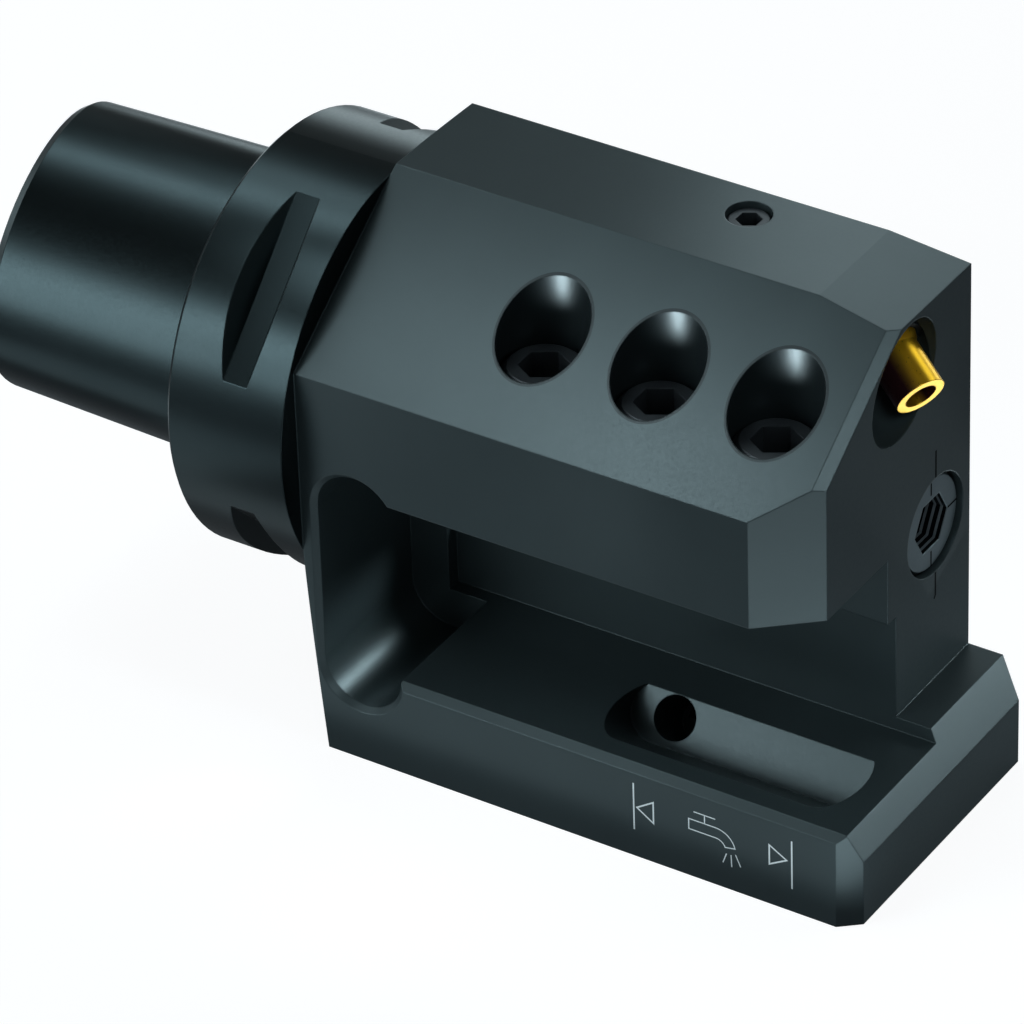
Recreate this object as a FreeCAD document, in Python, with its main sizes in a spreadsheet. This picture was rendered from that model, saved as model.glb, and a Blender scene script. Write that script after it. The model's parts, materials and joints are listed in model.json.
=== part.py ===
import FreeCAD, Part
import math
import os
import Sketcher
from FreeCAD import Placement, Rotation, Vector

# Axial tool adapter: a polygonal taper shank and flange carry a block with a C-shaped pocket,
# where three screws clamp a square tool shank from above. X runs along the shank axis towards
# the tool, Z is up, and the origin is the centre of the flange's contact face.

doc = FreeCAD.newDocument("axial_tool_adapter")
sheet = doc.addObject("Spreadsheet::Sheet", "sizes")
origin_planes = {"XY": "XY_Plane", "XZ": "XZ_Plane", "YZ": "YZ_Plane"}


class Size:
    """A length that knows its number and the expression that gives it from the sheet."""

    def __init__(self, value, text):
        self.value = value
        self.text = text

    def joined(self, other, sign, value):
        other_text = other.text if isinstance(other, Size) else repr(float(other))
        return Size(value, "(" + self.text + " " + sign + " " + other_text + ")")

    def __add__(self, other):
        return self.joined(other, "+", self.value + number(other))

    def __sub__(self, other):
        return self.joined(other, "-", self.value - number(other))

    def __mul__(self, other):
        return self.joined(other, "*", self.value * number(other))

    def __truediv__(self, other):
        return self.joined(other, "/", self.value / number(other))

    def __neg__(self):
        return Size(-self.value, "(0 - " + self.text + ")")


def number(size):
    return size.value if isinstance(size, Size) else float(size)


def text_of(size):
    return size.text if isinstance(size, Size) else repr(float(size))


def sine(angle):
    return Size(math.sin(math.radians(angle.value)), "sin(" + angle.text + " * 1 deg)")


def cosine(angle):
    return Size(math.cos(math.radians(angle.value)), "cos(" + angle.text + " * 1 deg)")


row_count = 0


def size(alias, value):
    """Write one driving dimension into the sheet and return it."""
    global row_count
    row_count = row_count + 1
    cell = "B" + str(row_count)
    sheet.set("A" + str(row_count), alias)
    sheet.set(cell, str(value))
    sheet.setAlias(cell, alias)
    return Size(float(value), "sizes." + alias)


# Shank and flange
flange_diameter = size("flange_diameter", 63)
flange_length = size("flange_length", 19)
flange_edge = size("flange_edge", 0.6)
polygon_diameter = size("polygon_diameter", 44)
polygon_lobe = size("polygon_lobe", 1.4)
shank_length = size("shank_length", 38)
shank_taper = size("shank_taper", 0.05)
shank_end_chamfer = size("shank_end_chamfer", 1.5)
shank_turn = size("shank_turn", 15)
shank_bore = size("shank_bore", 28)
shank_bore_depth = size("shank_bore_depth", 26)
shank_undercut = size("shank_undercut", 32.4)
shank_undercut_start = size("shank_undercut_start", 14)
shank_undercut_width = size("shank_undercut_width", 7)
core_bore = size("core_bore", 17)
core_bore_end = size("core_bore_end", 8)
gripper_centre = size("gripper_centre", 10.8)
gripper_floor = size("gripper_floor", 3.8)
gripper_depth = size("gripper_depth", 3.2)
gripper_wall_angle = size("gripper_wall_angle", 30)
gripper_turn = size("gripper_turn", 45)

# Block
near_face = size("near_face", 27.5)
far_face = size("far_face", 17.4)
top_height = size("top_height", 32.4)
top_near_edge = size("top_near_edge", 1)
slant_angle = size("slant_angle", 35.6)
block_front = size("block_front", 98)
rear_slope = size("rear_slope", 0.11)
front_corner_length = size("front_corner_length", 8)
front_corner_width = size("front_corner_width", 6.8)
top_slope_length = size("top_slope_length", 12.5)
top_slope_drop = size("top_slope_drop", 1.3)
slant_edge_length = size("slant_edge_length", 1.5)
slant_edge_drop = size("slant_edge_drop", 1.0)

# Tool pocket
seat_depth = size("seat_depth", 32.8)
pocket_ceiling = size("pocket_ceiling", 3.5)
web_depth = size("web_depth", 4.7)
pocket_rear = size("pocket_rear", 21.3)
relief_radius = size("relief_radius", 6.2)
relief_rise = size("relief_rise", 2.2)
relief_edge = size("relief_edge", 0.8)
recess_wall = size("recess_wall", 2.5)
recess_height = size("recess_height", 18.8)
ledge_height = size("ledge_height", 2.2)

# Base plate
bottom_depth = size("bottom_depth", 47.8)
base_front = size("base_front", 106)
base_slope_drop = size("base_slope_drop", 4.6)
base_slope_ratio = size("base_slope_ratio", 0.38)
base_edge = size("base_edge", 1.1)
base_corner_length = size("base_corner_length", 2.9)
base_corner_width = size("base_corner_width", 2.4)

# Clamping screws
clamp_first = size("clamp_first", 50.5)
clamp_pitch = size("clamp_pitch", 18)
clamp_offset = size("clamp_offset", 14)
clamp_head_bore = size("clamp_head_bore", 13)
clamp_head_depth = size("clamp_head_depth", 8.5)
clamp_thread = size("clamp_thread", 12)
clamp_top = size("clamp_top", 17.5)
clamp_hex = size("clamp_hex", 6.2)
clamp_hex_depth = size("clamp_hex_depth", 6)
pad_diameter = size("pad_diameter", 9)
pad_thickness = size("pad_thickness", 2)
pad_neck = size("pad_neck", 5)
pad_neck_length = size("pad_neck_length", 2.6)
thread_clearance = size("thread_clearance", 0.05)
turn_clearance = size("turn_clearance", 0.05)
pad_gap = size("pad_gap", 0.1)

# Coolant slot in the tool seat
slot_far_edge = size("slot_far_edge", 10.1)
slot_tilt = size("slot_tilt", 35)
slot_radius = size("slot_radius", 4.3)
slot_below_edge = size("slot_below_edge", 3.3)
slot_start = size("slot_start", 66.1)
slot_end = size("slot_end", 96.2)
slot_hole = size("slot_hole", 6.4)
slot_hole_start = size("slot_hole_start", 68.7)
slot_hole_depth = size("slot_hole_depth", 9)

# Coolant valve
valve_across = size("valve_across", 8.1)
valve_below = size("valve_below", 5.4)
valve_head = size("valve_head", 14.5)
valve_head_bore = size("valve_head_bore", 15.2)
valve_head_sink = size("valve_head_sink", 0.7)
valve_head_length = size("valve_head_length", 3)
valve_shaft = size("valve_shaft", 11.8)
valve_length = size("valve_length", 36)
valve_hex = size("valve_hex", 7.6)
valve_hex_depth = size("valve_hex_depth", 6)
valve_port = size("valve_port", 5)
valve_groove = size("valve_groove", 2.4)
valve_groove_depth = size("valve_groove_depth", 1.3)
valve_seal_first = size("valve_seal_first", 8)
valve_seal_second = size("valve_seal_second", 26)
stop_groove_place = size("stop_groove_place", 16)
stop_groove_width = size("stop_groove_width", 3.2)
stop_groove_depth = size("stop_groove_depth", 1.4)
stop_thread = size("stop_thread", 5)
stop_point = size("stop_point", 3)
feed_bore = size("feed_bore", 8)

# Coolant nozzle
scoop_across = size("scoop_across", 0.4)
scoop_up = size("scoop_up", 22.3)
scoop_long = size("scoop_long", 9.2)
scoop_short = size("scoop_short", 7.4)
scoop_depth = size("scoop_depth", 6.6)
scoop_turn = size("scoop_turn", 49)
ball_back = size("ball_back", 5.9)
ball_across = size("ball_across", 4.6)
ball_up = size("ball_up", 24.3)
ball_radius = size("ball_radius", 4.3)
ball_clearance = size("ball_clearance", 0.05)
nozzle_down = size("nozzle_down", 28)
nozzle_aside = size("nozzle_aside", 25)
nozzle_reach = size("nozzle_reach", 9.4)
nozzle_room = size("nozzle_room", 6)
nozzle_diameter = size("nozzle_diameter", 7.2)
nozzle_bore = size("nozzle_bore", 4.6)
retainer_diameter = size("retainer_diameter", 10.0)
retainer_front = size("retainer_front", 1.1)
retainer_length = size("retainer_length", 2.1)
seat_ring_length = size("seat_ring_length", 3.8)
nozzle_feed = size("nozzle_feed", 4)

# Cross-drilled channels and their plugs
channel_bore = size("channel_bore", 5)
duct_place = size("duct_place", 67.2)
duct_across = size("duct_across", 11.6)
duct_low = size("duct_low", 41)
nozzle_duct_height = size("nozzle_duct_height", 20)
plug_thread = size("plug_thread", 6.4)
plug_length = size("plug_length", 4.5)
plug_hex = size("plug_hex", 3.2)
plug_hex_depth = size("plug_hex_depth", 2.5)
plug_sink = size("plug_sink", 0.8)

# Coolant tube in the shank
tube_outside = size("tube_outside", 12)
tube_bore = size("tube_bore", 8)
tube_collar = size("tube_collar", 16.9)
tube_collar_length = size("tube_collar_length", 7)
tube_reach = size("tube_reach", 16)
ring_section = size("ring_section", 1.6)

doc.recompute()

# Places that follow from the sizes
flange_radius = flange_diameter / 2
over = Size(1.0, "1.0")
far_past = Size(12.0, "12.0")
rear_at_flange = flange_length
cone_reach = Size(70.0, "70.0")
block_start = flange_length - 6
pocket_depth = near_face - web_depth
recess_depth = near_face - recess_wall
ledge_level = seat_depth - ledge_height
recess_top = seat_depth - recess_height
slant_fall = (near_face - top_near_edge) * sine(slant_angle) / cosine(slant_angle)
slant_low_height = top_height - slant_fall


def new_body(label):
    body = doc.addObject("PartDesign::Body", label)
    body.Label = label
    return body


def sketch_on(body, name, plane, offset=0, turn_axis=None, turn=None):
    """Attach a new sketch to one of the body's own origin planes, moved along its normal."""
    sketch = body.newObject("Sketcher::SketchObject", name)
    roles = {feature.Role: feature for feature in body.Origin.OriginFeatures}
    sketch.AttachmentSupport = [(roles[origin_planes[plane]], "")]
    sketch.MapMode = "FlatFace"
    if turn is not None:
        sketch.AttachmentOffset = Placement(Vector(), Rotation(turn_axis, turn.value))
        sketch.setExpression("AttachmentOffset.Rotation.Angle", turn.text)
    sketch.setExpression("AttachmentOffset.Base.z", text_of(offset))
    return sketch


def pin_point(sketch, geometry, point, x, y):
    """Tie a point of the sketch to its two coordinates."""
    across = sketch.addConstraint(Sketcher.Constraint("DistanceX", -1, 1, geometry, point, number(x)))
    sketch.setExpression("Constraints[" + str(across) + "]", text_of(x))
    upward = sketch.addConstraint(Sketcher.Constraint("DistanceY", -1, 1, geometry, point, number(y)))
    sketch.setExpression("Constraints[" + str(upward) + "]", text_of(y))


def draw_outline(sketch, corners):
    """Draw a closed outline of straight lines through the corners."""
    count = len(corners)
    first = sketch.GeometryCount
    for index in range(count):
        start = corners[index]
        end = corners[(index + 1) % count]
        line = Part.LineSegment(
            Vector(number(start[0]), number(start[1]), 0), Vector(number(end[0]), number(end[1]), 0))
        sketch.addGeometry(line, False)
    for index in range(count):
        following = first + (index + 1) % count
        sketch.addConstraint(Sketcher.Constraint("Coincident", first + index, 2, following, 1))
    for index in range(count):
        pin_point(sketch, first + index, 1, corners[index][0], corners[index][1])


def draw_circle(sketch, x, y, radius):
    circle = Part.Circle(Vector(number(x), number(y), 0), Vector(0, 0, 1), number(radius))
    geometry = sketch.addGeometry(circle, False)
    rule = sketch.addConstraint(Sketcher.Constraint("Radius", geometry, number(radius)))
    sketch.setExpression("Constraints[" + str(rule) + "]", text_of(radius))
    pin_point(sketch, geometry, 3, x, y)


def draw_hexagon(sketch, across_flats, x=0, y=0):
    """Draw a hexagon with a corner up and down, so that two flats stand upright."""
    half = across_flats / 2
    corner = across_flats / math.sqrt(3)
    points = [(0, 1), (1, 0.5), (1, -0.5), (0, -1), (-1, -0.5), (-1, 0.5)]
    draw_outline(sketch, [(half * px + x, corner * py + y) for px, py in points])


def pad(body, name, sketch, length):
    feature = body.newObject("PartDesign::Pad", name)
    feature.Profile = sketch
    feature.setExpression("Length", text_of(length))
    feature.Length = number(length)
    return feature


def pocket(body, name, sketch, length, turned_round=False):
    feature = body.newObject("PartDesign::Pocket", name)
    feature.Profile = sketch
    feature.Length = number(length)
    feature.setExpression("Length", text_of(length))
    feature.Reversed = turned_round
    return feature


def bevelled_pocket(body, name, sketch, depth):
    """A shallow pocket whose walls slope inwards at 45 degrees, as an edge break does."""
    feature = pocket(body, name, sketch, depth)
    feature.TaperAngle = -45
    return feature


def revolve(body, name, sketch, axis, kind="PartDesign::Revolution"):
    feature = body.newObject(kind, name)
    feature.Profile = sketch
    feature.ReferenceAxis = (sketch, [axis])
    feature.Angle = 360
    return feature


def turned_body(label, profile):
    """A turned piece: the profile gives radius and height, and it turns about Z."""
    body = new_body(label)
    sketch = sketch_on(body, label + "_profile", "XZ")
    draw_outline(sketch, profile)
    revolve(body, label + "_turning", sketch, "V_Axis")
    return body


def hexagon_socket(body, top, across_flats, depth):
    """Sink a hexagon socket into the piece from the height given."""
    sketch = sketch_on(body, body.Label + "_socket_outline", "XY", top)
    draw_hexagon(sketch, across_flats)
    pocket(body, body.Label + "_socket", sketch, depth)


def place(piece, x, y, z, rotation=None):
    """Put a piece in its place, with its position tied to the sheet."""
    piece.Placement = Placement(Vector(number(x), number(y), number(z)), rotation or Rotation())
    piece.setExpression("Placement.Base.x", text_of(x))
    piece.setExpression("Placement.Base.y", text_of(y))
    piece.setExpression("Placement.Base.z", text_of(z))
    return piece


def rod(name, radius, length, x, y, z, direction):
    """A plain cylinder that starts at the point and runs in the direction."""
    piece = doc.addObject("Part::Cylinder", name)
    piece.setExpression("Radius", text_of(radius))
    piece.setExpression("Height", text_of(length))
    return place(piece, x, y, z, Rotation(Vector(0, 0, 1), Vector(*direction)))


# The block with its flange, as one machined solid

def make_block_form():
    body = new_body("block_form")

    section = sketch_on(body, "block_section", "YZ", block_start)
    draw_outline(section, [
        (-near_face, -bottom_depth), (far_face, -bottom_depth), (far_face, top_height),
        (-top_near_edge, top_height), (-near_face, slant_low_height)])
    pad(body, "block_pad", section, block_front - block_start)

    corner = sketch_on(body, "front_corner_outline", "XY", top_height + over)
    draw_outline(corner, [
        (block_front - front_corner_length, -near_face),
        (block_front - front_corner_length, -near_face - over),
        (block_front + over, -near_face - over),
        (block_front + over, -near_face + front_corner_width),
        (block_front, -near_face + front_corner_width)])
    pocket(body, "front_corner", corner, top_height + bottom_depth + over * 2)

    slope = sketch_on(body, "top_slope_outline", "XZ", near_face + over)
    draw_outline(slope, [
        (block_front - top_slope_length, top_height),
        (block_front, top_height - top_slope_drop),
        (block_front + over, top_height - top_slope_drop),
        (block_front + over, top_height + over),
        (block_front - top_slope_length, top_height + over)])
    pocket(body, "top_slope", slope, near_face + far_face + over * 2)

    room = sketch_on(body, "tool_pocket_outline", "XZ", near_face + over)
    draw_outline(room, [
        (pocket_rear, -seat_depth), (block_front + far_past, -seat_depth),
        (block_front + far_past, -pocket_ceiling), (pocket_rear + relief_radius, -pocket_ceiling),
        (pocket_rear + relief_radius, relief_rise - pocket_ceiling - relief_radius),
        (pocket_rear, relief_rise - pocket_ceiling - relief_radius)])
    pocket(body, "tool_pocket", room, pocket_depth + over)

    base = sketch_on(body, "base_section", "YZ", block_start)
    draw_outline(base, [
        (-near_face, -bottom_depth), (far_face, -bottom_depth), (far_face, -ledge_level),
        (-recess_wall, -ledge_level), (-recess_wall, -seat_depth), (-near_face, -seat_depth)])
    pad(body, "base_pad", base, base_front - block_start)

    recess = sketch_on(body, "recess_outline", "XZ", near_face + over)
    draw_outline(recess, [
        (pocket_rear + relief_radius, -seat_depth), (block_front + over, -seat_depth),
        (block_front + over, -recess_top), (pocket_rear + relief_radius, -recess_top)])
    pocket(body, "recess", recess, recess_depth + over)

    for name, height in (("upper_relief", relief_rise - pocket_ceiling - relief_radius),
                         ("lower_relief", -seat_depth)):
        relief = sketch_on(body, name + "_outline", "XZ", near_face + over)
        draw_circle(relief, pocket_rear + relief_radius, height, relief_radius)
        pocket(body, name, relief, pocket_depth + over)
        rim = sketch_on(body, name + "_edge_outline", "XZ", near_face)
        draw_circle(rim, pocket_rear + relief_radius, height, relief_radius + relief_edge)
        bevelled_pocket(body, name + "_edge", rim, relief_edge)

    side = sketch_on(body, "relief_side_edge_outline", "XZ", near_face)
    draw_outline(side, [
        (pocket_rear - relief_edge, -seat_depth), (pocket_rear + relief_radius, -seat_depth),
        (pocket_rear + relief_radius, relief_rise - pocket_ceiling - relief_radius),
        (pocket_rear - relief_edge, relief_rise - pocket_ceiling - relief_radius)])
    bevelled_pocket(body, "relief_side_edge", side, relief_edge)

    strip = sketch_on(body, "slant_edge_outline", "XZ", 0, Vector(1, 0, 0), slant_angle)
    slant_level = top_near_edge * sine(slant_angle) + top_height * cosine(slant_angle)
    draw_outline(strip, [
        (block_front - slant_edge_length, slant_level), (block_front, slant_level - slant_edge_drop),
        (block_front + over, slant_level - slant_edge_drop), (block_front + over, slant_level + over),
        (block_front - slant_edge_length, slant_level + over)])
    strip_cut = pocket(body, "slant_edge", strip, (near_face + far_face) * 3)
    strip_cut.Midplane = True

    nose = sketch_on(body, "base_nose_outline", "XZ", near_face + over)
    slope_start = seat_depth + base_slope_drop
    top_setback = (base_slope_drop + ledge_height + over) * base_slope_ratio
    draw_outline(nose, [
        (base_front, -slope_start), (base_front + over, -slope_start),
        (base_front + over, -ledge_level + over), (base_front - top_setback, -ledge_level + over)])
    pocket(body, "base_nose", nose, near_face + far_face + over * 2)

    edge = sketch_on(body, "base_edge_outline", "YZ", base_front + over)
    draw_outline(edge, [
        (-near_face, -seat_depth - base_edge), (-near_face + base_edge, -seat_depth),
        (-near_face + base_edge, -seat_depth + over), (-near_face - over, -seat_depth + over),
        (-near_face - over, -seat_depth - base_edge)])
    edge_start = pocket_rear + relief_radius * 2
    pocket(body, "base_edge_cut", edge, base_front + over - edge_start)

    foot = sketch_on(body, "base_corner_outline", "XY", over - seat_depth)
    draw_outline(foot, [
        (base_front - base_corner_length, -near_face),
        (base_front - base_corner_length, -near_face - over),
        (base_front + over, -near_face - over),
        (base_front + over, -near_face + base_corner_width),
        (base_front, -near_face + base_corner_width)])
    pocket(body, "base_corner", foot, bottom_depth - seat_depth + over * 2)

    cone = sketch_on(body, "rear_cone_profile", "XZ")
    draw_outline(cone, [
        (rear_at_flange, flange_radius), (rear_at_flange + cone_reach * rear_slope, flange_radius + cone_reach),
        (block_start - over, flange_radius + cone_reach), (block_start - over, flange_radius)])
    revolve(body, "rear_cone", cone, "H_Axis", "PartDesign::Groove")

    flange = sketch_on(body, "flange_profile", "XZ")
    draw_outline(flange, [
        (0, 0), (0, flange_radius - flange_edge), (flange_edge, flange_radius),
        (flange_length, flange_radius), (flange_length, 0)])
    revolve(body, "flange", flange, "H_Axis")

    gripper = sketch_on(
        body, "gripper_groove_section", "XY", 0, Vector(1, 0, 0), gripper_turn)
    floor_level = flange_radius - gripper_depth
    reach = gripper_depth + over
    spread = reach * sine(gripper_wall_angle) / cosine(gripper_wall_angle)
    draw_outline(gripper, [
        (gripper_centre - gripper_floor / 2, floor_level),
        (gripper_centre + gripper_floor / 2, floor_level),
        (gripper_centre + gripper_floor / 2 + spread, floor_level + reach),
        (gripper_centre - gripper_floor / 2 - spread, floor_level + reach)])
    groove = pocket(body, "gripper_groove", gripper, flange_diameter)
    groove.Midplane = True
    doc.recompute()
    pattern = body.newObject("PartDesign::PolarPattern", "gripper_grooves")
    pattern.Originals = [groove]
    axes = {feature.Role: feature for feature in body.Origin.OriginFeatures}
    pattern.Axis = (axes["X_Axis"], [""])
    pattern.Angle = 360
    pattern.Occurrences = 4
    body.Tip = pattern

    for name, radius, deep in (
            ("clamp_head_bores", clamp_head_bore / 2, top_height - clamp_head_depth),
            ("clamp_thread_bores", clamp_thread / 2 + thread_clearance, top_height + pocket_ceiling + over)):
        bores = sketch_on(body, name + "_outline", "XY", top_height)
        for index in range(3):
            draw_circle(bores, clamp_first + clamp_pitch * index, -clamp_offset, radius)
        last = pocket(body, name, bores, deep)
    body.Tip = last
    return body


def make_shank_form():
    """The three-lobed taper: each section follows the polygon's own formula."""
    turn = math.radians(shank_turn.value)
    steps = 72

    def section(x, shrink):
        mean = polygon_diameter.value / 2 + x * shank_taper.value / 2 - shrink
        points = []
        for step in range(steps):
            angle = 2 * math.pi * step / steps
            lobe = polygon_lobe.value
            out = mean - lobe * math.cos(3 * angle)
            side = 3 * lobe * math.sin(3 * angle)
            y = out * math.cos(angle) - side * math.sin(angle)
            z = out * math.sin(angle) + side * math.cos(angle)
            points.append(Vector(
                x, y * math.cos(turn) - z * math.sin(turn), y * math.sin(turn) + z * math.cos(turn)))
        curve = Part.BSplineCurve()
        curve.interpolate(Points=points, PeriodicFlag=True)
        return Part.Wire([curve.toShape()])

    end = -shank_length.value
    chamfer = shank_end_chamfer.value
    taper = Part.makeLoft([section(end + chamfer, 0), section(flange_edge.value, 0)], True, True)
    tip = Part.makeLoft([section(end, chamfer * 0.6), section(end + chamfer, 0)], True, True)
    piece = doc.addObject("Part::Feature", "shank_form")
    piece.Shape = taper.fuse(tip)
    return piece


def make_shank_bore():
    """What the shank is hollowed with: clamping bore, its undercut and the core bore."""
    body = new_body("shank_bore_form")
    profile = sketch_on(body, "shank_bore_profile", "XZ")
    undercut_from = shank_undercut_start - shank_length
    undercut_to = undercut_from + shank_undercut_width
    bore_end = shank_bore_depth - shank_length
    neck = (shank_bore - core_bore) / 2
    draw_outline(profile, [
        (-shank_length - over, 0), (-shank_length - over, shank_bore / 2 + over),
        (-shank_length, shank_bore / 2 + over), (-shank_length + over, shank_bore / 2),
        (undercut_from, shank_bore / 2), (undercut_from + over, shank_undercut / 2),
        (undercut_to - over, shank_undercut / 2), (undercut_to, shank_bore / 2),
        (bore_end, shank_bore / 2), (bore_end + neck, core_bore / 2),
        (core_bore_end, core_bore / 2), (core_bore_end + core_bore / 4, 0)])
    revolve(body, "shank_bore_turning", profile, "H_Axis")
    return body


def make_slot_form():
    """The tilted slot mill that opens the coolant slot, with the hole drilled in its floor."""
    body = new_body("slot_form")
    floor_place = sketch_on(body, "slot_outline", "XY")
    centre = -slot_below_edge
    reach = slot_radius
    across = sketch_on(body, "slot_round_start", "XY")
    draw_circle(across, slot_start, centre, reach)
    other = sketch_on(body, "slot_round_end", "XY")
    draw_circle(other, slot_end, centre, reach)
    draw_outline(floor_place, [
        (slot_start, centre - reach), (slot_end, centre - reach),
        (slot_end, centre + reach), (slot_start, centre + reach)])
    length = far_past * 2
    pad(body, "slot_pad", floor_place, length)
    pad(body, "slot_start_pad", across, length)
    pad(body, "slot_end_pad", other, length)
    hole = sketch_on(body, "slot_hole_outline", "XY", -slot_hole_depth)
    draw_circle(hole, slot_hole_start, centre, slot_hole / 2)
    last = pad(body, "slot_hole_pad", hole, slot_hole_depth + over)
    body.Tip = last
    place(body, 0, -slot_far_edge, -seat_depth, Rotation(Vector(1, 0, 0), 90 - slot_tilt.value))
    body.setExpression("Placement.Rotation.Angle", "90 - " + slot_tilt.text)
    return body


ball_place = (block_front - ball_back, ball_across, ball_up)
nozzle_direction = Rotation(Vector(0, 0, 1), -nozzle_aside.value).multVec(
    Rotation(Vector(0, 1, 0), nozzle_down.value).multVec(Vector(1, 0, 0)))
valve_place = (block_front - valve_head_sink, valve_across, -valve_below)
facing_front = Rotation(Vector(0, 1, 0), 90)
facing_nozzle = Rotation(Vector(0, 0, 1), nozzle_direction)


def along_nozzle(distance):
    """The point on the nozzle's axis at this distance in front of the ball's centre."""
    level = distance * cosine(nozzle_down)
    return (ball_place[0] + level * cosine(nozzle_aside), ball_place[1] - level * sine(nozzle_aside),
            ball_place[2] - distance * sine(nozzle_down))


def make_cutters():
    """Everything drilled or milled into the block after its outside is done."""
    cutters = [make_shank_bore(), make_slot_form()]

    scoop = doc.addObject("Part::Ellipsoid", "scoop_form")
    scoop.setExpression("Radius1", text_of(scoop_depth))
    scoop.setExpression("Radius2", text_of(scoop_long))
    scoop.setExpression("Radius3", text_of(scoop_short))
    scoop.Angle1 = -90
    scoop.Angle2 = 90
    tilt = Rotation(Vector(1, 0, 0), -scoop_turn.value)
    place(scoop, block_front, -scoop_across, scoop_up, tilt * Rotation(Vector(0, 1, 0), 90))
    cutters.append(scoop)

    back = nozzle_direction * -1
    seat_end = seat_ring_length + retainer_length - retainer_front + pad_gap * 2
    seat = rod("nozzle_seat_bore", retainer_diameter / 2, seat_end + nozzle_room,
               *along_nozzle(nozzle_room), tuple(back))
    cutters.append(seat)

    feed_target = Vector(duct_place.value, duct_across.value, nozzle_duct_height.value)
    feed_start = along_nozzle(-ball_radius)
    feed_line = feed_target - Vector(*[number(value) for value in feed_start])
    feed = rod("nozzle_feed_bore", nozzle_feed / 2, Size(feed_line.Length, repr(feed_line.Length)),
               *feed_start, tuple(feed_line))
    cutters.append(feed)

    head_depth = valve_head_sink + valve_head_length
    front = block_front + over
    cutters.append(rod("valve_head_bore_form", valve_head_bore / 2, head_depth + over,
                       front, valve_across, -valve_below, (-1, 0, 0)))
    cutters.append(rod("valve_shaft_bore", valve_shaft / 2 + turn_clearance,
                       valve_length + valve_head_sink + over * 2,
                       front, valve_across, -valve_below, (-1, 0, 0)))
    cutters.append(rod("feed_bore_form", feed_bore / 2, block_front - core_bore_end + over * 5,
                       front, valve_across, -valve_below, (-1, 0, 0)))

    plug_room = plug_thread / 2 + thread_clearance
    plug_depth = plug_length + plug_sink + over
    cutters.append(rod("top_plug_bore", plug_room, plug_depth,
                       duct_place, duct_across, top_height + over, (0, 0, -1)))
    cutters.append(rod("top_duct", channel_bore / 2, top_height + valve_below,
                       duct_place, duct_across, top_height, (0, 0, -1)))
    cutters.append(rod("low_duct", channel_bore / 2, bottom_depth - valve_below,
                       slot_hole_start, valve_across, -bottom_depth, (0, 0, 1)))
    cutters.append(rod("bottom_plug_bore", plug_room, plug_depth,
                       slot_hole_start, valve_across, -bottom_depth - over, (0, 0, 1)))
    cutters.append(rod("side_duct", channel_bore / 2, far_face + slot_tip_across() + over,
                       slot_hole_start, far_face + over, -duct_low, (0, -1, 0)))
    cutters.append(rod("side_plug_bore", plug_room, plug_depth,
                       slot_hole_start, far_face + over, -duct_low, (0, -1, 0)))
    cutters.append(rod("stop_screw_bore", stop_thread / 2 + thread_clearance,
                       far_face - valve_across + over,
                       valve_place[0] - stop_groove_place, far_face + over, -valve_below, (0, -1, 0)))
    return cutters


def slot_tip_across():
    """How far the slot's drilled hole has come towards the near side at its tip."""
    return slot_far_edge + slot_below_edge * sine(slot_tilt) - slot_hole_depth * cosine(slot_tilt)


def make_adapter_body():
    outside = doc.addObject("Part::MultiFuse", "outside_form")
    outside.Shapes = [make_block_form(), make_shank_form()]
    hollow = doc.addObject("Part::MultiFuse", "hollow_form")
    hollow.Shapes = make_cutters()
    body = doc.addObject("Part::Cut", "adapter_body")
    body.Base = outside
    body.Tool = hollow
    body.Label = "adapter_body"
    return body


# Clamping screws and the thrust pads that swivel on their tips

def make_clamp_set(word, index):
    screw_bottom = pad_thickness - pocket_ceiling + pad_gap
    length = clamp_top - screw_bottom
    radius = clamp_thread / 2
    bevel = over
    socket = pad_neck / 2 + turn_clearance
    socket_depth = pad_neck_length + pad_gap
    screw = turned_body("clamp_screw_" + word, [
        (socket, 0), (radius - bevel, 0), (radius, bevel), (radius, length - bevel),
        (radius - bevel, length), (0, length), (0, socket_depth), (socket, socket_depth)])
    hexagon_socket(screw, length, clamp_hex, clamp_hex_depth)
    place(screw, clamp_first + clamp_pitch * index, -clamp_offset, screw_bottom)

    thrust_pad = turned_body("thrust_pad_" + word, [
        (0, 0), (pad_diameter / 2 - over / 2, 0), (pad_diameter / 2, over / 2),
        (pad_diameter / 2, pad_thickness), (pad_neck / 2, pad_thickness),
        (pad_neck / 2, pad_thickness + pad_neck_length), (0, pad_thickness + pad_neck_length)])
    place(thrust_pad, clamp_first + clamp_pitch * index, -clamp_offset, -pocket_ceiling)
    return [screw, thrust_pad]


# Coolant nozzle: a ball with its tube, held between a seat ring and a threaded retainer

def make_nozzle():
    """The ball and tube in one piece, turned about the tube's axis."""
    ball = doc.addObject("Part::Sphere", "nozzle_ball_form")
    ball.setExpression("Radius", text_of(ball_radius))
    tube = doc.addObject("Part::Cylinder", "nozzle_tube_form")
    tube.setExpression("Radius", text_of(nozzle_diameter / 2))
    tube.setExpression("Height", text_of(nozzle_reach))
    whole = doc.addObject("Part::Fuse", "nozzle_outside_form")
    whole.Base = ball
    whole.Tool = tube
    bore = doc.addObject("Part::Cylinder", "nozzle_bore_form")
    bore.setExpression("Radius", text_of(nozzle_bore / 2))
    bore.setExpression("Height", text_of(nozzle_reach + ball_radius + over * 2))
    bore.Placement = Placement(Vector(0, 0, -ball_radius.value - 1), Rotation())
    bore.setExpression("Placement.Base.z", text_of(-ball_radius - over))
    nozzle = doc.addObject("Part::Cut", "coolant_nozzle")
    nozzle.Base = whole
    nozzle.Tool = bore
    nozzle.Label = "coolant_nozzle"
    place(nozzle, *ball_place, rotation=facing_nozzle)
    return nozzle


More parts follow.
